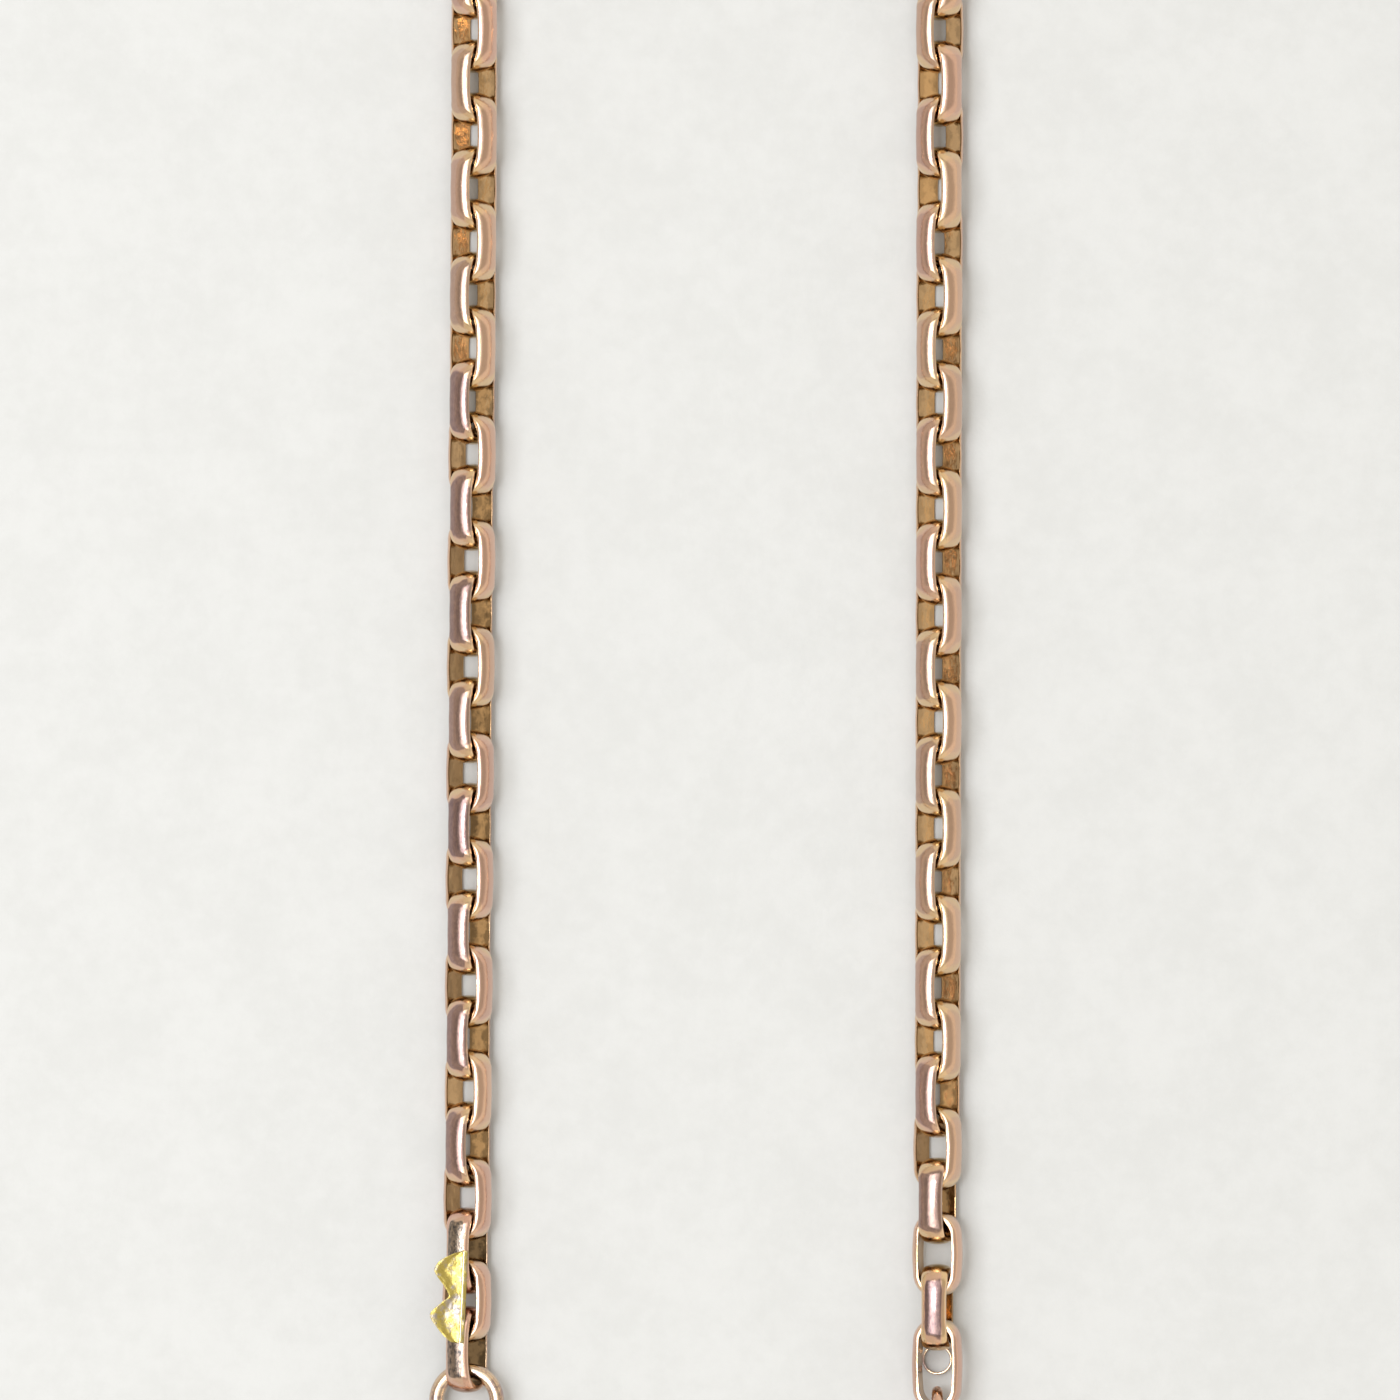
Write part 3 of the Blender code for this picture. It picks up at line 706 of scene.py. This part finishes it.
def loose_ring(bm):
    """A thin flat ring that leans in the last link."""
    tilt = Matrix.Rotation(LOOSE_RING_TILT, 3, "Y")
    up = tilt @ UP
    section = rounded_box(LOOSE_RING_WALL / 2, LOOSE_RING_WIDTH / 2, 0.115 * MM)
    rings = []
    for turn in spread(0, 2 * math.pi, 97)[:-1]:
        out = tilt @ Vector((math.cos(turn), math.sin(turn), 0))
        middle = box_centre("loose_ring") + LOOSE_RING_RADIUS * out
        rings.append([middle + r * out + h * up for r, h in section])
    skin(bm, rings, True)


def upright_ring(bm):
    along = Vector((0, 1, 0))
    centre = box_centre("wire_ring")
    wire_ring(bm, centre, along, UP, WIRE_RING_RADIUS, WIRE_RING_WIRE, WIRE_RING_STRAIGHT)


def bar_places():
    """Centres of the bar's eye and of the bar."""
    eye = box_centre("wire_ring")
    eye.y -= WIRE_RING_RADIUS + WIRE_RING_STRAIGHT + 0.2 * MM
    return eye, box_centre("t_bar")


def bar_eye(bm):
    """The eye, its neck and the collar that the bar turns in."""
    eye, bar = bar_places()
    axis = (bar - eye).normalized()
    sideways = Vector((1, 0, 0))
    wire_ring(bm, eye, axis, sideways, BAR_EYE_RADIUS, BAR_EYE_WIRE)
    reach = (bar - eye).length - (BAR_BORE + BAR_COLLAR_RADIUS) / 2
    neck = [(BAR_EYE_RADIUS, BAR_NECK_RADIUS), (reach, BAR_NECK_RADIUS)]
    turned(bm, eye, axis, neck)
    collar = rounded(BAR_COLLAR_HALF, BAR_COLLAR_RADIUS, 0.15 * MM)
    bored(bm, bar, sideways, collar, BAR_BORE)


def t_bar(bm):
    """The turned bar: slim arms that swell to a knob at each end, and a waist for the eye."""
    # From the end to the waist, in mm: (distance, radius).
    arm = [
        (0.0, 0.55),
        (0.10, 0.92),
        (0.35, 1.27),
        (0.70, 1.58),
        (1.10, 1.73),
        (1.50, 1.60),
        (1.90, 1.33),
        (2.12, 1.05),
        (2.30, 0.95),
        (2.50, 0.98),
        (2.80, 1.05),
        (4.00, 1.15),
        (8.00, 1.26),
        (11.50, 1.35),
        (12.20, 1.42),
        (12.80, 1.54),
        (13.40, 1.59),
        (13.95, 1.59),
        (14.04, 1.50),
        (14.07, BAR_WAIST_RADIUS / MM),
    ]
    side = [(d * MM - BAR_HALF, r * MM) for d, r in arm]
    profile = side + [(-d, r) for d, r in reversed(side)]
    turned(bm, box_centre("t_bar"), Vector((1, 0, 0)), profile, 72)


# ---- materials ----------------------------------------------------------------------------------


class Nodes:
    """Short names for building a shader in a node tree."""

    def __init__(self, tree):
        self.tree = tree

    def add(self, kind, values=(), **settings):
        """A new node with these settings, and with these values or links in its inputs."""
        node = self.tree.nodes.new("ShaderNode" + kind)
        for key, value in settings.items():
            setattr(node, key, value)
        for key, value in dict(values).items():
            self.feed(node.inputs[key], value)
        return node

    def feed(self, socket, value):
        if isinstance(value, bpy.types.NodeSocket):
            self.tree.links.new(value, socket)
        else:
            socket.default_value = value

    def math(self, operation, *values):
        node = self.add("Math", operation=operation)
        for socket, value in zip(node.inputs, values):
            self.feed(socket, value)
        return node.outputs[0]

    def noise(self, scale, detail, roughness, stretch=None, distortion=0.0):
        """Cloudy noise in the piece's own space. A small factor in `stretch` draws it out."""
        where = self.add("TexCoord").outputs["Object"]
        if stretch:
            where = self.add("Mapping", {"Vector": where, "Scale": stretch}).outputs[0]
        values = {"Vector": where, "Scale": scale, "Detail": detail, "Roughness": roughness}
        return self.add("TexNoise", {**values, "Distortion": distortion}).outputs[0]

    def fade(self, value, low, high, start, end):
        """From start at low to end at high, in a straight line, and level beyond."""
        inputs = {"Value": value, "From Min": low, "From Max": high, "To Min": start, "To Max": end}
        return self.add("MapRange", inputs).outputs[0]

    def ramp(self, value, low, high):
        """0 below low, 1 above high, smooth between."""
        node = self.add("MapRange", {"Value": value, "From Min": low, "From Max": high})
        node.interpolation_type = "SMOOTHSTEP"
        return node.outputs[0]

    def mix(self, share, first, second):
        """The first colour at share 0, the second at share 1."""
        node = self.add("Mix", data_type="RGBA")
        self.feed(node.inputs["Factor"], share)
        for socket, value in zip((node.inputs[6], node.inputs[7]), (first, second)):
            self.feed(socket, (*value, 1) if isinstance(value, tuple) else value)
        return node.outputs[2]

    def attribute(self, name):
        """The three numbers that a mesh holds at each point under this name."""
        vector = self.add("Attribute", attribute_name=name).outputs["Vector"]
        return self.add("SeparateXYZ", {"Vector": vector}).outputs

    def bump(self, height, distance, normal=None):
        node = self.add("Bump", {"Height": height, "Distance": distance, "Strength": 1.0})
        if normal:
            self.feed(node.inputs["Normal"], normal)
        return node.outputs[0]


class Surface(Nodes):
    """The nodes of a new material."""

    def __init__(self, name):
        self.material = bpy.data.materials.new(name)
        self.material.use_nodes = True
        super().__init__(self.material.node_tree)
        self.shader = self.tree.nodes["Principled BSDF"]

    def finish(self, colour, roughness, normal, **others):
        self.feed(self.shader.inputs["Base Color"], colour)
        self.feed(self.shader.inputs["Roughness"], roughness)
        self.feed(self.shader.inputs["Normal"], normal)
        for name, value in others.items():
            self.shader.inputs[name.replace("_", " ")].default_value = value
        return self.material


def tinted(colour, red, green, blue):
    return (red * colour[0], green * colour[1], blue * colour[2])


class Band(Surface):
    """Worn gold of a link: yellower towards the ends, browner inside, and a patina on the dome, which
    on links that face left is also a painted dark reflection.
    """

    def __init__(self, name):
        super().__init__(name)
        self.endness, self.sideways, self.inner = self.attribute("band")
        self.dullness, self.yellowness, self.rimmed = self.attribute("look")
        self.edge = self.math("ABSOLUTE", self.sideways)
        self.bare = self.math("SUBTRACT", 1.0, self.inner)
        self.patches = self.noise(1300, 4, 0.6)
        self.fleck = self.ramp(self.noise(2600, 5, 0.75, (1.6, 0.8, 1.2)), 0.38, 0.66)
        self.drift = self.math("SUBTRACT", self.noise(520, 1.0, 0.4), 0.5)
        self.reach = self.worn_reach()
        self.dull = self.patina_share()

    def worn_reach(self):
        """How far a point is towards the bare end. The patina goes further on the upper side."""
        lean = self.math("MULTIPLY_ADD", self.rimmed, 0.45, -0.45)
        slant = self.math("MULTIPLY", self.sideways, lean)
        reach = self.math("MULTIPLY_ADD", self.endness, slant, self.endness)
        reach = self.math("MULTIPLY_ADD", self.math("POWER", self.edge, 3.0), 0.18, reach)
        rim = self.math("MULTIPLY", self.ramp(self.edge, 0.50, 0.78), self.rimmed)
        reach = self.math("MULTIPLY_ADD", rim, 0.6, reach)
        return self.math("MULTIPLY_ADD", self.drift, 0.7, reach)

    def patina_share(self):
        """How much of the patina, and of the painted dark reflection that rides on it, lies on a
        point: only outside, and with a ragged edge.
        """
        rough = self.math("SUBTRACT", self.patches, 0.5)
        ragged = self.math("MULTIPLY_ADD", rough, 0.10, self.reach)
        spot = self.math("SUBTRACT", 1.0, self.ramp(ragged, 0.42, 0.52))
        return self.math("MULTIPLY", self.math("MULTIPLY", spot, self.bare), self.dullness)

    def flank_colour(self, flank, ends):
        """The clean metal: golden on some links, yellow at the ends and olive at the very tips."""
        golden = self.math("MULTIPLY", self.ramp(self.yellowness, -0.5, 1.0), 0.4)
        flank = self.mix(golden, flank, tinted(flank, 1.08, 1.20, 0.98))
        yellow = self.math("MULTIPLY_ADD", self.yellowness, 0.15, self.reach)
        colour = self.mix(self.ramp(yellow, 0.38, 0.85), flank, ends)
        tip = self.math("MULTIPLY_ADD", self.drift, 0.6, self.endness)
        olive = self.math("MULTIPLY", self.ramp(tip, 0.84, 1.0), 0.6)
        return self.mix(olive, colour, tinted(ends, 0.62, 0.66, 0.55))

    def inside_colour(self, inside):
        """The inside of the band, darker in clouds and towards its edges, more so on dull links."""
        darker = self.math("MULTIPLY", self.edge, 0.35)
        cloud = self.math("MULTIPLY_ADD", self.noise(900, 3, 0.6), 1.0, darker)
        strength = self.math("MULTIPLY_ADD", self.dullness, 0.6, 0.2)
        stain = self.math("MULTIPLY", self.ramp(cloud, 0.55, 0.78), strength)
        return self.mix(stain, inside, tinted(inside, 0.30, 0.30, 0.30))

    def colour(self, flank, ends, inside, patina, mottle):
        """All the colours together, with a painted highlight along the outer edges and dark specks
        over them.
        """
        flecked = self.math("MULTIPLY_ADD", self.fleck, mottle, 1.0 - mottle)
        colour = self.flank_colour(flank, ends)
        colour = self.mix(self.math("MULTIPLY", self.dull, flecked), colour, patina)
        colour = self.mix(self.inner, colour, self.inside_colour(inside))
        # Painted highlight: a brighter colour along the band's outer edges.
        rim = self.math("MULTIPLY", self.ramp(self.edge, 0.90, 1.0), self.bare)
        colour = self.mix(self.math("MULTIPLY", rim, 0.25), colour, EDGE_HIGHLIGHT_PAINT)
        speck = self.ramp(self.noise(8000, 2, 0.7), 0.66, 0.72)
        dark = tinted(patina, 0.6, 0.6, 0.6)
        return self.mix(self.math("MULTIPLY", speck, 0.5), colour, dark)

    def roughness(self, middle):
        """Rougher in patches and under the patina, smoother inside."""
        rough = self.math("MULTIPLY_ADD", self.patches, 0.12, middle - 0.06)
        haze = self.math("MULTIPLY_ADD", self.fleck, 0.07, 0.01)
        rough = self.math("MULTIPLY_ADD", self.dull, haze, rough)
        return self.math("MULTIPLY_ADD", self.inner, -0.04, rough)

    def relief(self):
        """Grain, scratches and shallow dents outside, and slow waves inside."""
        scratches = self.noise(5200, 3, 0.6, (7.0, 0.55, 3.0), 0.8)
        waves = self.math("MULTIPLY", self.noise(700, 2, 0.4), self.inner)
        normal = self.bump(self.noise(16000, 2, 0.6), 0.0022 * MM)
        normal = self.bump(self.math("MULTIPLY", scratches, self.bare), 0.0050 * MM, normal)
        normal = self.bump(self.patches, 0.016 * MM, normal)
        return self.bump(waves, 0.08 * MM, normal)


def link_metal(name, colours, roughness, mottle):
    n = Band(name)
    colour = n.colour(*colours, mottle)
    return n.finish(colour, n.roughness(roughness), n.relief(), Metallic=1)


def fitting_metal(name, colours, roughness, dent=0.012, walls=0.0):
    """Worn metal of a fitting: stained in patches, grimy in its pits, scratched and dented."""
    n = Surface(name)
    clean, stain, grime = colours
    broad = n.noise(420, 3, 0.5)
    patches = n.noise(1500, 4, 0.65)
    mixed = n.math("MULTIPLY_ADD", patches, 0.5, n.math("MULTIPLY", broad, 0.5))
    colour = n.mix(n.ramp(mixed, 0.47, 0.62), clean, stain)
    pits = n.ramp(n.noise(3600, 4, 0.7), 0.56, 0.70)
    colour = n.mix(n.math("MULTIPLY", pits, 0.6), colour, grime)

    # Painted shade on steep sides, by the share `walls`: sides that turn away from up are darkened as
    # if shaded. Grime also gathers in hollows.
    normal = n.add("TexCoord").outputs["Normal"]
    facing = n.add("SeparateXYZ", {"Vector": normal}).outputs["Z"]
    steep = n.math("SUBTRACT", 1.0, n.ramp(facing, 0.45, 0.90))
    colour = n.mix(n.math("MULTIPLY", steep, walls), colour, grime)
    hollow = n.add("NewGeometry").outputs["Pointiness"]
    colour = n.mix(n.math("SUBTRACT", 1.0, n.ramp(hollow, 0.40, 0.49)), colour, grime)

    rough = n.math("MULTIPLY_ADD", patches, 0.18, roughness - 0.09)
    relief = n.bump(n.noise(15000, 2, 0.6), 0.0025 * MM)
    relief = n.bump(n.noise(4200, 3, 0.6, (5.0, 0.7, 2.0), 0.8), 0.004 * MM, relief)
    return n.finish(colour, rough, n.bump(mixed, dent * MM, relief), Metallic=1)


def paper():
    """The pale table top, faintly mottled and fibrous."""
    n = Surface("paper")
    mottle = n.noise(95, 5, 0.6)
    cloud = n.noise(480, 4, 0.65)
    mixed = n.math("MULTIPLY_ADD", cloud, 0.45, n.math("MULTIPLY", mottle, 0.55))
    colour = n.mix(n.ramp(mixed, 0.36, 0.64), *PAPER)
    fibre = n.noise(1500, 4, 0.6)
    relief = n.bump(fibre, 0.03 * MM, n.bump(mottle, 0.10 * MM))
    return n.finish(colour, 0.85, relief, Specular_IOR_Level=0.2)


# ---- stage --------------------------------------------------------------------------------------


def add_floor():
    mesh = bpy.data.meshes.new("floor")
    reach = 3.0
    corners = [(-reach, -reach, 0), (reach, -reach, 0), (reach, reach, 0), (-reach, reach, 0)]
    mesh.from_pydata(corners, [], [(0, 1, 2, 3)])
    floor = bpy.data.objects.new("floor", mesh)
    bpy.context.scene.collection.objects.link(floor)
    mesh.materials.append(paper())


def add_lamp(name, place, size, power):
    data = bpy.data.lights.new(name, "AREA")
    data.shape = "RECTANGLE"
    data.size, data.size_y = size
    data.energy = power
    data.color = COOL_WHITE
    lamp = bpy.data.objects.new(name, data)
    bpy.context.scene.collection.objects.link(lamp)
    lamp.location = place


def add_world():
    """A studio: a dim ceiling, pale walls low down, and the left wall darker than the right."""
    world = bpy.data.worlds.new("studio")
    world.use_nodes = True
    n = Nodes(world.node_tree)
    background = n.tree.nodes["Background"]
    where = n.add("TexCoord").outputs["Generated"]
    x, y, z = n.add("SeparateXYZ", {"Vector": where}).outputs
    level = n.fade(x, -SIDE_REACH, SIDE_REACH, WALL_LEFT, WALL_RIGHT)
    height = n.math("MULTIPLY_ADD", n.math("ABSOLUTE", y), -WALL_RISE, z)
    wall = n.fade(height, WALL_TOP, WALL_TOP + WALL_BLEND, 1.0, CEILING)
    n.feed(background.inputs["Strength"], n.math("MULTIPLY", level, wall))
    background.inputs["Color"].default_value = (*WARM_WHITE, 1)
    bpy.context.scene.world = world


def add_camera():
    data = bpy.data.cameras.new("camera")
    data.type = "PERSP"
    data.sensor_width = 36
    data.lens = data.sensor_width * CAMERA_HEIGHT / VIEW_SIDE
    data.clip_start = 0.1
    data.clip_end = 20
    camera = bpy.data.objects.new("camera", data)
    bpy.context.scene.collection.objects.link(camera)
    camera.location = VIEW_CENTRE + Vector((0, 0, CAMERA_HEIGHT))
    bpy.context.scene.camera = camera


# ---- everything ---------------------------------------------------------------------------------


def build_fittings():
    """Every fitting: the piece's name, its maker, the body it rides on, its CAD node and its slot."""
    looks = {
        "pale_gold": fitting_metal("pale_gold", PALE_GOLD, 0.15),
        # The plate's brass has painted shade on its steep sides.
        "yellow_brass": fitting_metal("yellow_brass", YELLOW_BRASS, 0.38, 0.20, 0.9),
        "rose_gold": fitting_metal("rose_fitting", ROSE_FITTING, 0.19),
        "spring_steel": fitting_metal("spring_steel", SPRING_STEEL, 0.30),
    }
    for name, build, body, node, slot in (
        ("end_ring_wire", end_ring, "end_ring", "end_ring", "pale_gold"),
        ("swivel_eye_ring", swivel_eye, "swivel_eye", "swivel_eye", "pale_gold"),
        ("swivel_hook_collar", hook_collar, "swivel_hook", "swivel_hook", "pale_gold"),
        ("swivel_hook_bar", hook_bar, "swivel_hook", "swivel_hook", "pale_gold"),
        ("swivel_hook_cheeks", hook_cheeks, "swivel_hook", "swivel_hook", "pale_gold"),
        ("swivel_gate_bar", gate, "swivel_gate", "swivel_gate", "pale_gold"),
        ("gate_pin_rod", gate_pin, "swivel_hook", "gate_pin", "pale_gold"),
        ("gate_spring_leaf", gate_spring, "swivel_hook", "gate_spring", "spring_steel"),
        ("mending_plate_face", mending_plate, "worn_link_left_22", "mending_plate", "yellow_brass"),
        ("loose_ring_band", loose_ring, "loose_ring", "loose_ring", "pale_gold"),
        ("wire_ring_wire", upright_ring, "wire_ring", "wire_ring", "rose_gold"),
        ("bar_eye_ring", bar_eye, "bar_eye", "bar_eye", "rose_gold"),
        ("t_bar_turned", t_bar, "t_bar", "t_bar", "rose_gold"),
    ):
        piece(name, build, body, [node], looks[slot])
    nodes = ["mending_plate"]
    bright = fitting_metal("bright_brass", BRIGHT_BRASS, 0.20)
    piece("mending_plate_ridge", plate_ridge, "worn_link_left_22", nodes, bright)


def build_links():
    """The strands' links, each on its own body, and the fold's links on the fold."""
    rose = link_metal("rose_gold", ROSE_LINK, 0.13, 0.2)
    worn = link_metal("worn_silver", WORN_LINK, 0.18, 0.45)
    for node, link in strand_links().items():
        worn_through = node.startswith("worn")
        add_link(node + "_band", link, node, [node], worn if worn_through else rose)
    for link in fold_links():
        name = f"fold_link_{link.number + FOLD_LINK + 1:02d}"
        add_link(name, link, "fold", ["fold"], rose)


add_floor()
add_world()
for lamp in LAMPS:
    add_lamp(*lamp)
add_camera()
build_links()
build_fittings()
bpy.context.scene.view_settings.view_transform = "Standard"
